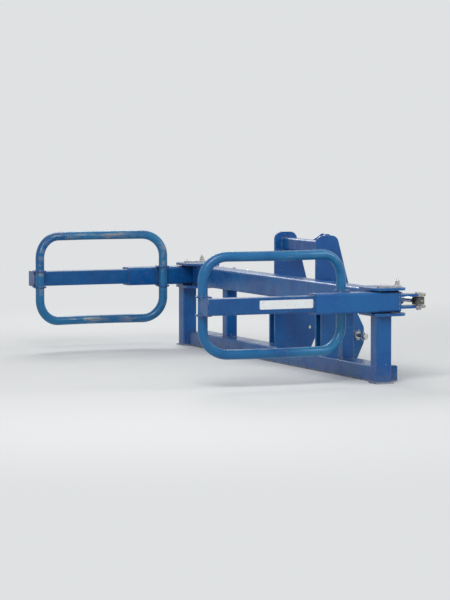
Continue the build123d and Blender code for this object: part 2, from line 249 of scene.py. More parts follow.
# Small turned pieces, as (radius, height) pairs up from their seats
NIPPLE_SINK = 0.0005
NIPPLE_HEXAGON = ((0.0052, 0), (0.0052, 0.0045))
NIPPLE_HEAD = ((0.0036, 0.0040), (0.0030, 0.0065), (0.0021, 0.0080), (0.0033, 0.0100), (0.0031, 0.0120),
               (0.0016, 0.0132))
PIN_WASHER = ((0.0245, 0), (0.0250, 0.0008), (0.0250, 0.0026), (0.0240, PIN_WASHER_THICKNESS))
LINCH_PIN_SHANK = ((0.0035, 0), (0.0048, 0.004), (0.0048, LINCH_PIN_LENGTH))
LINCH_PIN_HEAD = ((0.0095, 0), (0.0100, 0.001), (0.0100, 0.011), (0.0085, 0.013))
PLUG_SEAL = ((0.0122, 0), (0.0126, 0.0006), (0.0126, 0.0020), (0.0120, 0.0026))
PLUG_HEXAGON = ((0.0108, 0.0024), (0.0110, 0.0034), (0.0110, 0.0105), (0.0096, 0.0120))
WIPER_LIP = ((0.0270, 0), (0.0272, 0.0012), (0.0235, 0.0022), (0.0205, 0.0045), (0.0185, 0.0050))
# These are shares: of flats and height, of corner radius and height, and of the bolt's radius
WASHER_PROFILE = ((0.88, 0), (0.90, 0.3), (0.90, 0.7), (0.87, 1))
NUT_PROFILE = ((0.90, 0), (1, 0.12), (1, 0.88), (0.90, 1))
BOLT_END = (0.80, 1.77)

# How many sides round pieces have, and how many points outlines have
HEXAGON = 6
WELD_SIDES = 6
SPLIT_PIN_SIDES = 6
LINCH_RING_SIDES = 8
NIPPLE_SIDES = 14
LINCH_PIN_SIDES = 14
LINCH_HEAD_SIDES = 18
BOLT_SIDES = 20
WASHER_SIDES = 28
PIN_WASHER_SIDES = 32
WIPER_SIDES = 36
CORNER_STEPS = 4
SPLIT_PIN_EYE_POINTS = 12
PORT_WELD_POINTS = 32
LINCH_RING_POINTS = 40
CIRCLE_POINTS = 48
FLOOR_POINTS = 96


def angles(count, turn=0.0):
    """Evenly spaced angles round a circle, in radians."""
    return [turn + 2 * math.pi * k / count for k in range(count)]


def cross_axes(axis):
    """Two unit vectors square to an axis and to each other."""
    up = Vector(axis).normalized()
    helper = Vector(Z) if abs(up.z) < 0.9 else Vector(X)
    across = helper.cross(up).normalized()
    return across, up.cross(across)


def circle(centre, axis, radius, count=CIRCLE_POINTS, turn=0.0):
    """Points round a circle."""
    across, along = cross_axes(axis)
    return [Vector(centre) + across * radius * math.cos(angle) + along * radius * math.sin(angle)
            for angle in angles(count, turn)]


def rectangle(centre, u, v, half_u, half_v, corner):
    """Points round a rectangle with rounded corners. u and v are its two directions."""
    u, v = Vector(u), Vector(v)
    points = []
    for sign_u, sign_v, start in ((1, 1, 0), (-1, 1, 90), (-1, -1, 180), (1, -1, 270)):
        for step in range(CORNER_STEPS + 1):
            angle = math.radians(start + 90 / CORNER_STEPS * step)
            points.append(Vector(centre) + u * (sign_u * (half_u - corner) + corner * math.cos(angle))
                          + v * (sign_v * (half_v - corner) + corner * math.sin(angle)))
    return points


def scaled(profile, radius, height):
    """A profile of shares, made a real size."""
    return [(radius_share * radius, height_share * height) for radius_share, height_share in profile]


class Shape:
    """Vertices and faces that become one piece."""

    def __init__(self):
        self.vertices = []
        self.faces = []

    def skin(self, rings, closed=False):
        """Adds rings of points, joined. Both ends are filled, unless the last ring joins the first."""
        start = len(self.vertices)
        count, sides = len(rings), len(rings[0])
        faces = []
        for ring in range(count if closed else count - 1):
            here, there = ring * sides, (ring + 1) % count * sides
            for step in range(sides):
                after = (step + 1) % sides
                faces.append((here + step, here + after, there + after, there + step))
        if not closed:
            faces.append(tuple(reversed(range(sides))))
            faces.append(tuple(range((count - 1) * sides, count * sides)))
        self.vertices += [tuple(point) for ring in rings for point in ring]
        self.faces += [tuple(start + index for index in face) for face in faces]

    def lathe(self, base, axis, profile, sides, turn=0.0):
        """Turns (radius, height) pairs about an axis, and closes both ends."""
        up = Vector(axis).normalized()
        self.skin([circle(Vector(base) + up * height, axis, radius, sides, turn)
                   for radius, height in profile])

    def tube(self, points, radii, sides, closed=False):
        """A round bar along points, with a radius at each."""
        points = [Vector(point) for point in points]
        count = len(points)
        rings = []
        across = None
        for index, point in enumerate(points):
            before = points[index - 1] if closed or index else point
            after = points[(index + 1) % count] if closed or index < count - 1 else point
            tangent = (after - before).normalized()
            if across is None:
                across = cross_axes(tangent)[0]
            across = (across - tangent * across.dot(tangent)).normalized()
            along = tangent.cross(across)
            rings.append([point + (across * math.cos(angle) + along * math.sin(angle)) * radii[index]
                          for angle in angles(sides)])
        self.skin(rings, closed)

    def wire(self, points, radius, sides, closed=False):
        """A round bar of one thickness along points."""
        self.tube(points, [radius] * len(points), sides, closed)

    def weld(self, points, closed=False, radius=WELD_RADIUS):
        """A rippled bead along a line of points."""
        path = [Vector(point) for point in points]
        if closed:
            path.append(path[0])
        lengths = [0.0]
        for a, b in zip(path, path[1:]):
            lengths.append(lengths[-1] + (b - a).length)
        ripples = max(FEWEST_RIPPLES, round(lengths[-1] / WELD_PITCH))
        count = ripples * RINGS_PER_RIPPLE
        spots = np.linspace(0, lengths[-1], count, endpoint=not closed)
        table = np.array([tuple(point) for point in path])
        placed = np.stack([np.interp(spots, lengths, table[:, k]) for k in range(3)], 1)
        phase = (np.arange(count) % RINGS_PER_RIPPLE) / RINGS_PER_RIPPLE
        uneven = random_stream.normal(0, WELD_UNEVENNESS, count)
        self.tube(placed, radius * (1 + WELD_RIPPLE * (0.5 - phase) + uneven), WELD_SIDES, closed)

    def nut_and_bolt(self, base, axis, flats, turn):
        """A washer, a hexagon nut with a lock nut on it, and the end of the bolt that they are on."""
        up = Vector(axis).normalized()
        washer = flats * WASHER_HEIGHT
        bolt = flats * BOLT_RADIUS
        self.lathe(base, axis, scaled(WASHER_PROFILE, flats, washer), WASHER_SIDES)
        end = Vector(base) + up * washer
        nuts = ((flats * NUT_HEIGHT, turn), (flats * LOCK_NUT_HEIGHT, turn + LOCK_NUT_TURN))
        for height, its_turn in nuts:
            self.lathe(end, axis, scaled(NUT_PROFILE, flats / math.sqrt(3), height), HEXAGON, its_turn)
            end = end + up * height
        threads = [(THREAD_ROOT if k % 2 else 1.0, HALF_PITCH * k) for k in range(THREAD_STEPS)]
        self.lathe(end - up * bolt * BOLT_SEAT, axis, scaled([*threads, BOLT_END], bolt, bolt), BOLT_SIDES)

    def nipple(self, base, axis):
        """A grease nipple."""
        self.lathe(base, axis, NIPPLE_HEXAGON, HEXAGON)
        self.lathe(base, axis, NIPPLE_HEAD, NIPPLE_SIDES)

    def piece(self, name, material, body, slot, crease=CREASE):
        """Makes the object, which rides on a body and takes the given material. The slot is not used."""
        mesh = bpy.data.meshes.new(name)
        mesh.from_pydata(self.vertices, [], self.faces)
        mesh.polygons.foreach_set("use_smooth", [True] * len(mesh.polygons))
        mesh.set_sharp_from_angle(angle=math.radians(crease))
        mesh.materials.append(material)
        made = bpy.data.objects.new(name, mesh)
        bpy.context.scene.collection.objects.link(made)
        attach(made, body)


def middle(node):
    """The middle of a CAD node's box."""
    low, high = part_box(node)
    return (low + high) / 2


# Places that come from the CAD: joints, mounts and beams
JOINTS = {joint["name"]: joint for joint in frame["joints"]}
MOUNTS = {mount["name"]: mount for mount in frame["record"]["mounts"]}
TOP_LINK = Vector(MOUNTS["top_link_bore"]["pos_m"])
ARM_HEIGHT = JOINTS["right_arm_swing"]["pos_m"][2]
SLEEVE_HALF = (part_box("right_arm_sleeve")[1].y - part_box("right_arm_sleeve")[0].y) / 2
BEAM_HALF = (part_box("right_arm_beam")[1].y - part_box("right_arm_beam")[0].y) / 2


def pivot(side):
    """Where an arm's pivot crosses the arm's middle height."""
    return Vector(JOINTS[f"{side}_arm_swing"]["pos_m"])


def base_pin(side):
    """Where a cylinder's base pin crosses the cylinder."""
    return Vector(JOINTS[f"{side}_cylinder_swing"]["pos_m"])


def cylinder_axis(side):
    """The direction from a cylinder's base to its rod's eye."""
    return Vector(JOINTS[f"{side}_rod_slide"]["axis"]).normalized()


def base_eye_radius(side):
    """The radius of a cylinder's base eye, from its box."""
    low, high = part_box(f"{side}_cylinder_barrel")
    start = base_pin(side)
    return start.y - low.y if side == "left" else high.y - start.y


def rod_eye(side):
    """The middle of a rod's eye, by the rod's far end."""
    low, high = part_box(f"{side}_cylinder_rod")
    reach = (high.y if side == "left" else -low.y) - ROD_EYE_RADIUS
    axis = cylinder_axis(side)
    start = base_pin(side)
    return start + axis * ((reach - abs(start.y)) / abs(axis.y))


def stand_welds(shape, side, sign):
    """Beads round a strut and a post, and between the post and the lower beam."""
    outward = (0, sign, 0)
    strut_low, strut_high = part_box(f"{side}_strut")
    half = (strut_high.x - strut_low.x) / 2
    centre = middle(f"{side}_strut")
    for height in (strut_low.z, strut_high.z):
        shape.weld(rectangle((centre.x, centre.y, height), X, outward, half, half, SECTION_CORNER), True)

    centre = pivot(side)
    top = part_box(f"{side}_post")[1].z
    head, foot = [rectangle((centre.x, centre.y, height), X, outward, POST_HALF, POST_HALF, SECTION_CORNER)
                  for height in (top, FOOT_PLATE)]
    shape.weld(head, True)
    inner = centre.y - sign * POST_HALF
    front = (centre.x + POST_HALF, inner + sign * SECTION_CORNER, FOOT_PLATE)
    rear = (centre.x - POST_HALF, inner + sign * SECTION_CORNER, FOOT_PLATE)
    shape.weld([front, *foot[:len(foot) // 2], rear])
    beam_low, beam_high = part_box("lower_beam")
    beam_top = beam_high.z - WELD_RADIUS / 2
    front_seam = centre.x + POST_HALF - WELD_RADIUS
    shape.weld([(beam_low.x + SECTION_CORNER, inner, beam_top), (front_seam, inner, beam_top)])
    for seam in (beam_low.x, front_seam):
        shape.weld([(seam, inner, SECTION_CORNER), (seam, inner, beam_high.z - SECTION_CORNER)])


def jaw_welds(shape, side, sign):
    """Beads between the end of the top beam and the two jaws."""
    top_low, top_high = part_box("top_beam")
    beam_end = top_high.y if sign > 0 else top_low.y
    rear, front = top_low.x + JAW_WELD_INSET, top_high.x - JAW_WELD_INSET
    for level, face, inward in (("upper", top_high.z, -1), ("lower", top_low.z, 1)):
        jaw_low, jaw_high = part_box(f"{side}_jaw_{level}")
        inner = jaw_low.y if sign > 0 else jaw_high.y
        groove = face + inward * JAW_WELD_SINK
        shape.weld([(top_low.x + BEAM_CORNER, inner, face), (top_high.x - BEAM_CORNER, inner, face)])
        shape.weld([(rear, inner + sign * BEAM_CORNER, groove), (rear, beam_end, groove)])
        shape.weld([(front, inner, groove), (front, beam_end, groove)])
        shape.weld([(top_low.x + BEAM_CORNER, beam_end, face), (top_high.x - BEAM_CORNER, beam_end, face)])


def headstock_welds(shape, side, sign):
    """Beads between the mast and hitch plates, the beams, the tie, the lower pins and the anchors."""
    top_low, top_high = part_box("top_beam")
    beam_low, beam_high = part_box("lower_beam")
    pin = middle(f"{side}_lower_pin")
    for plate in ("mast_plate", "hitch_plate"):
        plate_low, plate_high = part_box(f"{side}_{plate}")
        top = min(plate_high.z, top_high.z - BEAM_CORNER) - SECTION_CORNER
        for face in (plate_low.y, plate_high.y):
            shape.weld([(top_high.x, face, top_low.z + BEAM_CORNER), (top_high.x, face, top)])
            shape.weld([(beam_high.x, face, SECTION_CORNER),
                        (beam_high.x, face, beam_high.z - SECTION_CORNER)])
            outer = face == (plate_high.y if sign > 0 else plate_low.y)
            radius = LOWER_COLLAR if outer and plate == "hitch_plate" else LOWER_PIN
            shape.weld(circle((pin.x, face, pin.z), Y, radius), True)

    tie_low, tie_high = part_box("headstock_tie")
    centre = middle("headstock_tie")
    half_x, half_z = (tie_high.x - tie_low.x) / 2, (tie_high.z - tie_low.z) / 2
    end = tie_high.y if sign > 0 else tie_low.y
    shape.weld(rectangle((centre.x, end, centre.z), X, Z, half_x, half_z, SECTION_CORNER), True)

    anchor_low, anchor_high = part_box(f"{side}_cylinder_anchor")
    for bottom in (anchor_low.z, anchor_high.z - ANCHOR_PLATE):
        for height in (bottom, bottom + ANCHOR_PLATE):
            shape.weld([(top_high.x, anchor_low.y + WELD_RADIUS, height),
                        (top_high.x, anchor_high.y - WELD_RADIUS, height)])


def frame_welds():
    """Beads where the cross frame and headstock are joined."""
    shape = Shape()
    for side, sign in SIDES:
        stand_welds(shape, side, sign)
        jaw_welds(shape, side, sign)
        headstock_welds(shape, side, sign)
    ear_low, ear_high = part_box("top_link_ears")
    tie_low, tie_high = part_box("headstock_tie")
    for face in (ear_low.y, ear_low.y + EAR_PLATE, ear_high.y - EAR_PLATE, ear_high.y):
        shape.weld([(tie_high.x, face, tie_low.z + BEAM_CORNER),
                    (tie_high.x, face, tie_high.z - BEAM_CORNER)])
    return shape


def arm_welds(side, sign):
    """Beads on the boss, the crank fork, the sleeve's lip, the beam's cap and the hand's collars."""
    shape = Shape()
    centre = pivot(side)
    for level in (-1, 1):
        shape.weld(circle((centre.x, centre.y, ARM_HEIGHT + level * SLEEVE_HALF), Z, BOSS_RADIUS), True)
    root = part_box(f"{side}_crank_fork")[0].x
    shape.weld(rectangle((root, centre.y, ARM_HEIGHT), Y, Z, SLEEVE_HALF, SLEEVE_HALF, BEAM_CORNER), True)
    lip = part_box(f"{side}_arm_sleeve")[0].x
    shape.weld(rectangle((lip, centre.y, ARM_HEIGHT), Y, Z, BEAM_HALF, BEAM_HALF, CAP_CORNER), True)
    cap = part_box(f"{side}_arm_beam")[0].x + BEAM_CAP
    cap_seam = rectangle((cap, centre.y, ARM_HEIGHT), Y, Z, BEAM_HALF, BEAM_HALF, CAP_CORNER)
    shape.weld(cap_seam, True, CAP_WELD_RADIUS)

    half = FORK_ROOT / 2 - FORK_WELD_INSET
    plate_face = root + FORK_END_PLATE
    for level in (-1, 1):
        for height in (FORK_GAP / 2, FORK_GAP / 2 + FORK_PLATE):
            z_at = ARM_HEIGHT + level * height
            shape.weld([(plate_face, centre.y - half, z_at), (plate_face, centre.y + half, z_at)])

    ring_low, ring_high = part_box(f"{side}_hand_ring")
    ring_y = centre.y - sign * (SLEEVE_HALF + RING_TUBE)
    plate_end = centre.y - sign * BEAM_HALF / 2
    for x_at, half in ((ring_high.x - RING_TUBE, SLEEVE_HALF), (ring_low.x + RING_TUBE, BEAM_HALF)):
        face = centre.y - sign * half
        for level in (-1, 1):
            z_at = ARM_HEIGHT + level * half
            outer = z_at + level * COLLAR_PLATE
            shape.weld([(x_at - RING_TUBE, face, z_at), (x_at - RING_TUBE, plate_end, z_at),
                        (x_at + RING_TUBE, plate_end, z_at), (x_at + RING_TUBE, face, z_at)])
            shape.weld(circle((x_at, ring_y, outer), Z, RING_TUBE), True)
    return shape


def barrel_welds(side):
    """Beads round the barrel's base and its two port bosses."""
    shape = Shape()
    axis = cylinder_axis(side)
    base = base_pin(side)
    across = Vector(Z).cross(axis)
    shape.weld(circle(base + axis * BARREL_START, axis, BARREL_RADIUS), True)
    for port in PORTS:
        points = []
        for angle in angles(PORT_WELD_POINTS):
            offset = PORT_RADIUS * math.sin(angle)
            height = math.sqrt(BARREL_RADIUS ** 2 - offset ** 2)
            points.append(base + axis * (port + PORT_RADIUS * math.cos(angle)) + across * offset
                          + Vector((0, 0, height)))
        shape.weld(points, True, PORT_WELD_RADIUS)
    return shape


def split_pin(shape, x, y, z):
    """A washer below the last plate, and a split pin through the pin's tail."""
    shape.lathe((x, y, z), (0, 0, -1), PIN_WASHER, PIN_WASHER_SIDES)
    height = z - PIN_WASHER_THICKNESS - SPLIT_PIN_DROP
    reach = LINK_PIN_RADIUS + SPLIT_PIN_EYE
    eye = circle((x, y - reach - SPLIT_PIN_EYE, height), X, SPLIT_PIN_EYE, SPLIT_PIN_EYE_POINTS)
    shape.wire(eye, SPLIT_PIN_EYE_WIRE, SPLIT_PIN_SIDES, True)
    for level in (-1, 1):
        leg_height = height + level * SPLIT_PIN_LEG_RISE
        leg = [(x, y - reach, leg_height), (x, y + LINK_PIN_RADIUS, leg_height),
               (x + level * SPLIT_PIN_BEND, y + reach, height),
               (x + level * SPLIT_PIN_SPREAD, y + reach + SPLIT_PIN_TIP, height)]
        shape.wire(leg, SPLIT_PIN_WIRE, SPLIT_PIN_SIDES)


def linch_pin(shape, x, y, z, sign):
    """A linch pin through the free end of a lower link pin, with its ring snapped over."""
    foot = z - LINCH_PIN_DROP
    shape.lathe((x, y, foot), Z, LINCH_PIN_SHANK, LINCH_PIN_SIDES)
    head = foot + LINCH_PIN_LENGTH - LINCH_HEAD_OVERLAP
    shape.lathe((x, y, head), Z, LINCH_PIN_HEAD, LINCH_HEAD_SIDES)
    ring = [(x + LINCH_RING * math.sin(angle), y + sign * LINCH_RING_LEAN * math.cos(angle),
             z - LINCH_RING_DROP + LINCH_RING * math.cos(angle)) for angle in angles(LINCH_RING_POINTS)]
    shape.wire(ring, LINCH_RING_WIRE, LINCH_RING_SIDES, True)


def frame_fasteners():
    """Keeper nuts, grease nipples, split pins and linch pins of the cross frame and headstock."""
    shape = Shape()
    for side, sign in SIDES:
        centre = pivot(side)
        flag_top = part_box(f"{side}_pivot_pin")[1].z
        shape.nut_and_bolt((centre.x + FLAG_REACH, centre.y, flag_top), Z, KEEPER_FLATS, KEEPER_TURN)
        shape.nipple((centre.x, centre.y, flag_top), Z)
        base = base_pin(side)
        split_pin(shape, base.x, base.y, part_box(f"{side}_anchor_pin")[0].z + LINK_PIN_TAIL)
        pin = middle(f"{side}_lower_pin")
        low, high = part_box(f"{side}_lower_pin")
        free_end = high.y if sign > 0 else low.y
        linch_pin(shape, pin.x, free_end - sign * LINCH_PIN_INSET, pin.z, sign)
    return shape


def arm_fasteners(side):
    """The crank pin's washer and split pin."""
    shape = Shape()
    crank = middle(f"{side}_crank_pin")
    split_pin(shape, crank.x, crank.y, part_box(f"{side}_crank_pin")[0].z + LINK_PIN_TAIL)
    return shape


def barrel_plugs(side):
    """Hexagon plugs in the ports, and the base eye's grease nipple."""
    shape = Shape()
    axis = cylinder_axis(side)
    base = base_pin(side)
    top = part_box(f"{side}_cylinder_barrel")[1].z
    for port in PORTS:
        place = base + axis * port
        place.z = top
        shape.lathe(place, Z, PLUG_SEAL, WASHER_SIDES)
        shape.lathe(place, Z, PLUG_HEXAGON, HEXAGON, port)
    shape.nipple(base - axis * (base_eye_radius(side) - NIPPLE_SINK), -axis)
    return shape


def rod_wiper(side):
    """The rod wiper that stands out of the gland."""
    shape = Shape()
    axis = cylinder_axis(side)
    shape.lathe(base_pin(side) + axis * BARREL_END, axis, WIPER_LIP, WIPER_SIDES)
    return shape


def rod_nipple(side):
    """The rod eye's grease nipple."""
    shape = Shape()
    axis = cylinder_axis(side)
    shape.nipple(rod_eye(side) + axis * (ROD_EYE_RADIUS - NIPPLE_SINK), axis)
    return shape


def label():
    """The blank label on the outer side of the right beam, behind the sleeve."""
    shape = Shape()
    centre = pivot("right")
    face = centre.y - BEAM_HALF
    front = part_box("right_arm_sleeve")[0].x - LABEL_GAP
    outline = rectangle((front - LABEL_LENGTH / 2, face, ARM_HEIGHT + LABEL_RISE), X, Z,
                        LABEL_LENGTH / 2, LABEL_HEIGHT / 2, LABEL_CORNER)
    outer = [point + Vector((0, -LABEL_THICKNESS, 0)) for point in outline]
    shape.skin([outline, outer])
    return shape


def add_node(tree, kind, settings=None, inputs=None):
    """A shader node with its settings, and its inputs set or linked."""
    node = tree.nodes.new("ShaderNode" + kind)
    for key, value in (settings or {}).items():
        setattr(node, key, value)
    for key, value in (inputs or {}).items():
        put(tree, node.inputs[key], value)
    return node


def put(tree, socket, value):
    """Links a socket to another one, or sets its value."""
    if isinstance(value, bpy.types.NodeSocket):
        tree.links.new(value, socket)
    else:
        socket.default_value = value


def add_math(tree, operation, a, b, clamp=True):
    """The result of one operation on two values, kept between 0 and 1 unless clamp is off."""
    node = add_node(tree, "Math", {"operation": operation, "use_clamp": clamp}, {0: a, 1: b})
    return node.outputs[0]


def add_ramp(tree, value, low, high):
    """A value mapped smoothly from low..high to 0..1. Low may be the larger."""
    node = add_node(tree, "MapRange", {"interpolation_type": "SMOOTHSTEP"}, {0: value, 1: low, 2: high})
    return node.outputs[0]


def empty_tree(owner):
    """The node tree of a material or of the world, with nothing in it."""
    owner.use_nodes = True
    owner.node_tree.nodes.clear()
    return owner.node_tree


class Paintbox:
    """A material whose colour, roughness, metal and height are built up in layers."""

    def __init__(self, name, color, roughness=None, metallic=None, **constants):
        self.material = bpy.data.materials.new(name)
        self.tree = empty_tree(self.material)
        self.shader = add_node(self.tree, "BsdfPrincipled", inputs=constants)
        add_node(self.tree, "OutputMaterial", inputs={0: self.shader.outputs[0]})
        self.place = add_node(self.tree, "TexCoord").outputs["Object"]
        geometry = add_node(self.tree, "NewGeometry")
        self.normal = geometry.outputs["Normal"]
        self.flat_normal = geometry.outputs["True Normal"]
        self.color = (*color, 1)
        self.roughness = roughness
        self.metallic = metallic
        self.height = None

    def noise(self, scale, detail=3, stretch=None, low=0.35, high=0.65):
        """Patches from 0 to 1. A larger scale makes them smaller, and more detail makes them rougher."""
        place = self.place
        if stretch:
            place = add_node(self.tree, "Mapping", inputs={0: place, "Scale": stretch}).outputs[0]
        made = add_node(self.tree, "TexNoise", inputs={"Vector": place, "Scale": scale, "Detail": detail})
        return self.ramp(made.outputs["Fac"], low, high)

    def ramp(self, value, low, high):
        """A value mapped smoothly from low..high to 0..1."""
        return add_ramp(self.tree, value, low, high)

    def larger(self, a, b):
        """The larger of two values."""
        return add_math(self.tree, "MAXIMUM", a, b)

    def times(self, *values):
        """The product of several values."""
        product = values[0]
        for value in values[1:]:
            product = add_math(self.tree, "MULTIPLY", product, value)
        return product

    def axis(self, vector, letter):
        """One component of a vector."""
        return add_node(self.tree, "SeparateXYZ", inputs={0: vector}).outputs[letter]

    def mix(self, mask, old, new, kind="FLOAT"):
        """The old value or colour where the mask is 0, and the new one where it is 1."""
        first, second, result = MIX_SOCKETS[kind]
        made = add_node(self.tree, "Mix", {"data_type": kind}, {0: mask, first: old, second: new})
        return made.outputs[result]

    def layer(self, mask, color, roughness=None, metallic=None):
        """Lays a colour over what is there, where the mask says."""
        self.color = self.mix(mask, self.color, (*color, 1), "RGBA")
        if roughness is not None:
            self.roughness = self.mix(mask, self.roughness, roughness)
        if metallic is not None:
            self.metallic = self.mix(mask, self.metallic or 0.0, metallic)

    def bump(self, value, depth):
        """Adds to the height of the surface, in metres."""
        scaled_value = add_math(self.tree, "MULTIPLY", value, depth, False)
        if self.height is None:
            self.height = scaled_value
        else:
            self.height = add_math(self.tree, "ADD", self.height, scaled_value, False)

    def distance(self, centre, spread=(1, 1, 1)):
        """Distance from a point, or from a line where one direction has no spread."""
        offset = add_node(self.tree, "VectorMath", {"operation": "SUBTRACT"},
                          {0: self.place, 1: tuple(centre)}).outputs[0]
        flat = add_node(self.tree, "VectorMath", {"operation": "MULTIPLY"},
                        {0: offset, 1: spread}).outputs[0]
        return add_node(self.tree, "VectorMath", {"operation": "LENGTH"}, {0: flat}).outputs["Value"]

    def edges(self, radius):
        """Where the surface turns sharply, from 0 to 1."""
        bevel = add_node(self.tree, "Bevel", {"samples": MASK_SAMPLES}, {"Radius": radius})
        same = add_node(self.tree, "VectorMath", {"operation": "DOT_PRODUCT"},
                        {0: bevel.outputs[0], 1: self.flat_normal}).outputs["Value"]
        return self.ramp(same, *EDGE_COSINES)

    def hollows(self, distance):
        """Where other surfaces are near, from 0 to 1."""
        sky = add_node(self.tree, "AmbientOcclusion", {"samples": MASK_SAMPLES}, {"Distance": distance})
        return self.ramp(sky.outputs["AO"], *HOLLOW_SKY)

    def done(self):
        """Joins the layers to the shader, and returns the material."""
        links = {"Base Color": self.color, "Roughness": self.roughness}
        if self.metallic is not None:
            links["Metallic"] = self.metallic
        if self.height is not None:
            bump = add_node(self.tree, "Bump",
                            inputs={"Strength": 1.0, "Distance": 1.0, "Height": self.height})
            links["Normal"] = bump.outputs[0]
        for socket, value in links.items():
            put(self.tree, self.shader.inputs[socket], value)
        return self.material


def dust_and_mud(box, amount):
    """Dust on what faces up and in corners, and dried mud splashed near the ground."""
    upward = box.ramp(box.axis(box.normal, "Z"), 0.45, 0.98)
    patches = box.larger(box.noise(14, 6, low=0.42, high=0.72), box.noise(120, 4, low=0.58, high=0.70))
    box.layer(box.times(upward, patches, 0.22 * amount), DUST_FILM, 0.75)
    grime = box.times(box.hollows(GRIME_REACH), box.noise(60, 4), 0.5 * amount)
    box.layer(grime, MUD, 0.85)
    near_ground = box.ramp(box.axis(box.place, "Z"), *MUD_HEIGHTS)
    splashes = box.noise(75, 6, low=0.55, high=0.66)
    wash = box.noise(12, 4, low=0.35, high=0.75)
    box.layer(box.times(near_ground, wash, 0.18 * amount), DUST, 0.8)
    spots = box.times(near_ground, splashes, amount)
    box.layer(box.times(spots, 0.7), MUD, 0.92)
    box.bump(spots, MUD_THICKNESS)
    foot = box.ramp(box.axis(box.place, "Z"), *SCUFF_HEIGHTS)
    scuffed = box.times(foot, box.noise(28, 5, low=0.38, high=0.55))
    box.layer(box.times(scuffed, 0.8 * amount), SCUFFED, 0.6)


def blue_paint(name="blue_paint", fresh=BLUE, faded=FADED_BLUE, bare=None):
    """Glossy blue enamel, faded in patches, chipped to steel along its edges and bare where bare says."""
    box = Paintbox(name, fresh, **BLUE_GLOSS)
    box.layer(box.noise(2.2, 4), faded)
    box.layer(box.times(box.noise(5.5, 5, low=0.45, high=0.75), 0.5), DEEP_BLUE)
    box.roughness = box.mix(box.noise(14, 4), 0.24, 0.40)
    worn = box.times(box.edges(BLUE_EDGE), box.noise(45, 6, low=0.53, high=0.60))
    chips = box.times(box.noise(38, 6, low=0.705, high=0.725),
                      box.noise(3.5, 2, low=0.45, high=0.60))
    scratches = box.times(box.noise(30, 4, stretch=(0.5, 9, 9), low=0.66, high=0.70),
                          box.noise(4, 2, low=0.50, high=0.65), 0.6)
    wear = box.larger(worn, box.larger(chips, scratches))
    if bare is not None:
        wear = box.larger(wear, bare(box))
    box.layer(wear, STEEL, 0.38, 0.85)
    box.layer(box.times(wear, box.noise(90, 4, low=0.52, high=0.64), 0.7), RUST, 0.85, 0.0)
    box.bump(box.noise(420, 2, low=0.2, high=0.8), BLUE_GRAIN)
    box.bump(wear, -BLUE_THICKNESS)
    dust_and_mud(box, 1.0)
    return box.done()


def rubbed_round(centre, spread, radius):
    """What gives the mask of paint rubbed away round a pin. The pin's own direction has no spread."""
    def rubbed(box):
        reach = box.distance(centre, spread)
        ragged = add_math(box.tree, "ADD", reach, box.times(box.noise(45, 5), RUBBED_RAGGED))
        return box.ramp(ragged, radius + RUBBED_EDGE, radius)
    return rubbed


def rubbed_inside(box):
    """Where the bales' wrap rubs the hands: in streaks on the side that faces the middle of the grab."""
    towards = add_math(box.tree, "MULTIPLY", box.axis(box.normal, "Y"), box.axis(box.place, "Y"), False)
    streaks = box.times(box.noise(18, 5, stretch=(0.4, 2, 2), low=0.46, high=0.58), box.noise(4, 3))
    return box.times(box.ramp(towards, *WRAP_RUBBED), streaks, 0.75)


def zinc_plate():
    """Zinc plate: pale satin metal with a faint grain, dull patches and a little rust in corners."""
    box = Paintbox("zinc_plate", ZINC_GREY, metallic=1.0)
    box.layer(box.times(box.noise(35, 5), 0.6), DULL_ZINC)
    box.layer(box.times(box.noise(150, 3, low=0.45, high=0.6), 0.35), BRIGHT_ZINC)
    box.roughness = box.mix(box.noise(55, 4), 0.24, 0.46)
    rust = box.times(box.noise(24, 5, low=0.60, high=0.68), box.hollows(ZINC_RUST_REACH), 0.8)
    box.layer(rust, RUST, 0.8)
    box.bump(box.noise(700, 2), ZINC_GRAIN)
    return box.done()


def worn_black_edges(box, *masks):
    """Lays bare steel along the edges of black paint, within the masks."""
    worn = box.times(*masks, box.edges(BLACK_EDGE), box.noise(60, 5, low=0.45, high=0.60))
    box.layer(worn, STEEL, 0.4, 0.85)


def black_paint():
    """Satin black paint with worn edges and a light film of dust."""
    box = Paintbox("black_paint", SATIN_BLACK, **BLACK_GLOSS)
    box.layer(box.times(box.noise(6, 4), 0.5), FADED_BLACK)
    box.roughness = box.mix(box.noise(20, 4), 0.30, 0.50)
    worn_black_edges(box)
    box.bump(box.noise(500, 2), BLACK_GRAIN)
    dust_and_mud(box, 0.8)
    return box.done()


def chrome_rod(side):
    """Hard chrome along the rod, with an oil film, and black paint on the eye."""
    box = Paintbox(f"{side}_chrome_rod", CHROME, 0.09, 1.0)
    box.layer(box.times(box.noise(9, 4, stretch=(1, 0.15, 1)), 0.35), OILED_CHROME, 0.16)
    fine = box.noise(160, 3, stretch=(1, 0.03, 1), low=0.52, high=0.62)
    box.layer(box.times(fine, 0.4), BRIGHT_CHROME, 0.2)
    painted = box.ramp(box.distance(rod_eye(side)), ROD_EYE_PAINT + ROD_EYE_PAINT_EDGE, ROD_EYE_PAINT)
    box.layer(painted, EYE_BLACK, 0.38, 0.0)
    worn_black_edges(box, painted)
    box.layer(box.times(painted, box.noise(40, 4), 0.25), DUST, 0.8)
    return box.done()


def white_label():
    """A blank vinyl label, white with a faint painted blue tint of sky light, a little yellowed and scuffed."""
    box = Paintbox("white_label", SKY_TINTED_VINYL, 0.32, **VINYL_GLOSS)
    box.layer(box.times(box.noise(12, 4), 0.4), YELLOWED_VINYL)
    box.layer(box.times(box.noise(90, 5, low=0.62, high=0.68), 0.5), DUST, 0.7)
    box.bump(box.noise(200, 2), VINYL_GRAIN)
    return box.done()


def black_rubber():
    """Matt black rubber of the wipers."""
    box = Paintbox("black_rubber", RUBBER_BLACK, 0.7)
    box.layer(box.times(box.noise(60, 4), 0.5), DUSTY_RUBBER)
    return box.done()


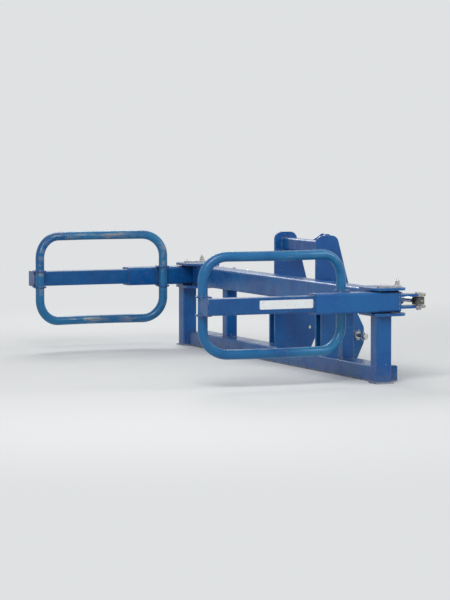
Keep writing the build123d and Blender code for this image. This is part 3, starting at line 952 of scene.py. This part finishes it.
def material_for(name):
    """The material of a CAD node."""
    side = name.split("_")[0]
    if name.endswith("crank_fork"):
        bare = rubbed_round(middle(f"{side}_crank_pin"), (1, 1, 0), FORK_RUBBED)
        return blue_paint(f"{side}_fork_paint", bare=bare)
    if name.endswith("hitch_plate"):
        bare = rubbed_round(middle(f"{side}_lower_pin"), (1, 0, 1), HITCH_RUBBED)
        return blue_paint(f"{side}_hitch_paint", bare=bare)
    if name == "top_link_ears":
        return blue_paint("ear_paint", bare=rubbed_round(TOP_LINK, (1, 0, 1), EAR_RUBBED))
    if name.endswith("cylinder_rod"):
        return chrome_rod(side)
    if name.endswith("arm_beam"):
        return BEAM_PAINT
    if name.endswith("hand_ring"):
        return SKY_TINTED_RING_PAINT
    if name.endswith("cylinder_barrel"):
        return BLACK
    if name.endswith("_pin"):
        return ZINC
    return PAINT


def round_edges(node):
    """Gives a piece cut from plate slightly rounded edges."""
    joined = node.modifiers.new("joined", "WELD")
    joined.merge_threshold = MERGE_DISTANCE
    rounded = node.modifiers.new("rounded", "BEVEL")
    rounded.width = EDGE_WIDTH
    rounded.segments = EDGE_SEGMENTS
    rounded.limit_method = "ANGLE"
    rounded.angle_limit = math.radians(EDGE_ANGLE)
    rounded.harden_normals = True


def make_camera():
    """A long lens, from where the photograph was taken."""
    centre = (cad_low + cad_high) / 2
    azimuth, elevation = math.radians(VIEW_AZIMUTH), math.radians(VIEW_ELEVATION)
    back = Vector((math.sin(azimuth) * math.cos(elevation), -math.cos(azimuth) * math.cos(elevation),
                   math.sin(elevation)))
    data = bpy.data.cameras.new("camera")
    data.sensor_width = SENSOR
    data.lens = SENSOR * VIEW_DISTANCE / (VIEW_WIDTH * PHOTO_HEIGHT / PHOTO_WIDTH)
    data.clip_end = VIEW_END
    camera = bpy.data.objects.new("camera", data)
    camera.location = centre + back * VIEW_DISTANCE
    camera.rotation_mode = "QUATERNION"
    camera.rotation_quaternion = (-back).to_track_quat("-Z", "Y")
    bpy.context.scene.collection.objects.link(camera)
    bpy.context.scene.camera = camera


def make_floor():
    """A pale round floor that fades into the background."""
    material = bpy.data.materials.new("studio_floor")
    tree = empty_tree(material)
    place = add_node(tree, "TexCoord").outputs["Object"]
    reach = add_node(tree, "VectorMath", {"operation": "LENGTH"}, {0: place}).outputs["Value"]
    fade = add_ramp(tree, reach, FLOOR_CLEAR, FLOOR_FADED)
    matt = add_node(tree, "BsdfPrincipled",
                    inputs={"Base Color": (*FLOOR_COLOR, 1), "Roughness": FLOOR_ROUGHNESS})
    glow = add_node(tree, "Emission", inputs={"Color": (*BACKDROP, 1), "Strength": 1.0})
    mixed = add_node(tree, "MixShader", inputs={0: fade, 1: matt.outputs[0], 2: glow.outputs[0]})
    add_node(tree, "OutputMaterial", inputs={0: mixed.outputs[0]})
    mesh = bpy.data.meshes.new("floor")
    mesh.from_pydata(circle((0, 0, 0), Z, FLOOR_RADIUS, FLOOR_POINTS), [], [tuple(range(FLOOR_POINTS))])
    floor = bpy.data.objects.new("floor", mesh)
    floor.location.z = -FLOOR_DROP
    mesh.materials.append(material)
    bpy.context.scene.collection.objects.link(floor)


def make_light():
    """Soft daylight from all round, and three large soft lamps."""
    world = bpy.data.worlds.new("studio")
    bpy.context.scene.world = world
    tree = empty_tree(world)
    path = add_node(tree, "LightPath").outputs
    seen = add_math(tree, "ADD", path["Is Camera Ray"], path["Is Glossy Ray"])
    seen = add_math(tree, "ADD", seen, path["Is Transmission Ray"])
    light = add_node(tree, "Background", inputs={"Color": (*WORLD_LIGHT, 1), "Strength": WORLD_STRENGTH})
    backdrop = add_node(tree, "Background", inputs={"Color": (*BACKDROP, 1), "Strength": 1.0})
    mixed = add_node(tree, "MixShader", inputs={0: seen, 1: light.outputs[0], 2: backdrop.outputs[0]})
    add_node(tree, "OutputWorld", inputs={0: mixed.outputs[0]})
    for name, place, width, power in LAMPS:
        data = bpy.data.lights.new(name, "AREA")
        data.size = width
        data.energy = power
        lamp = bpy.data.objects.new(name, data)
        lamp.location = place
        lamp.rotation_mode = "QUATERNION"
        lamp.rotation_quaternion = (Vector(LAMP_TARGET) - lamp.location).to_track_quat("-Z", "Y")
        bpy.context.scene.collection.objects.link(lamp)


make_camera()
make_floor()
make_light()
bpy.context.scene.view_settings.view_transform = "Standard"

PAINT = blue_paint()
BEAM_PAINT = blue_paint("beam_paint", BEAM_BLUE, FADED_BEAM)
# The rings' blue carries a painted reflection of the sky; the wrap rubs their inner sides bare
SKY_TINTED_RING_PAINT = blue_paint("sky_tinted_ring_paint", SKY_TINTED_RING_BLUE, FADED_SKY_TINTED_RING, rubbed_inside)
ZINC = zinc_plate()
BLACK = black_paint()
RUBBER = black_rubber()
LABEL = white_label()

for name, node in frame["nodes"].items():
    node.data.materials.clear()
    node.data.materials.append(material_for(name))
    if name.endswith(SHARP_NODES):
        round_edges(node)

frame_welds().piece("frame_welds", PAINT, "frame", "blue_paint", WELD_CREASE)
frame_fasteners().piece("frame_fasteners", ZINC, "frame", "zinc_plate")
for side, sign in SIDES:
    arm_welds(side, sign).piece(f"{side}_arm_welds", PAINT, f"{side}_arm", "blue_paint", WELD_CREASE)
    arm_fasteners(side).piece(f"{side}_arm_fasteners", ZINC, f"{side}_arm", "zinc_plate")
    barrel_welds(side).piece(f"{side}_barrel_welds", BLACK, f"{side}_barrel", "black_paint", WELD_CREASE)
    barrel_plugs(side).piece(f"{side}_barrel_plugs", ZINC, f"{side}_barrel", "zinc_plate")
    rod_wiper(side).piece(f"{side}_rod_wiper", RUBBER, f"{side}_barrel", "black_rubber")
    rod_nipple(side).piece(f"{side}_rod_nipple", ZINC, f"{side}_rod", "zinc_plate")
label().piece("right_arm_label", LABEL, "right_arm", "white_label")
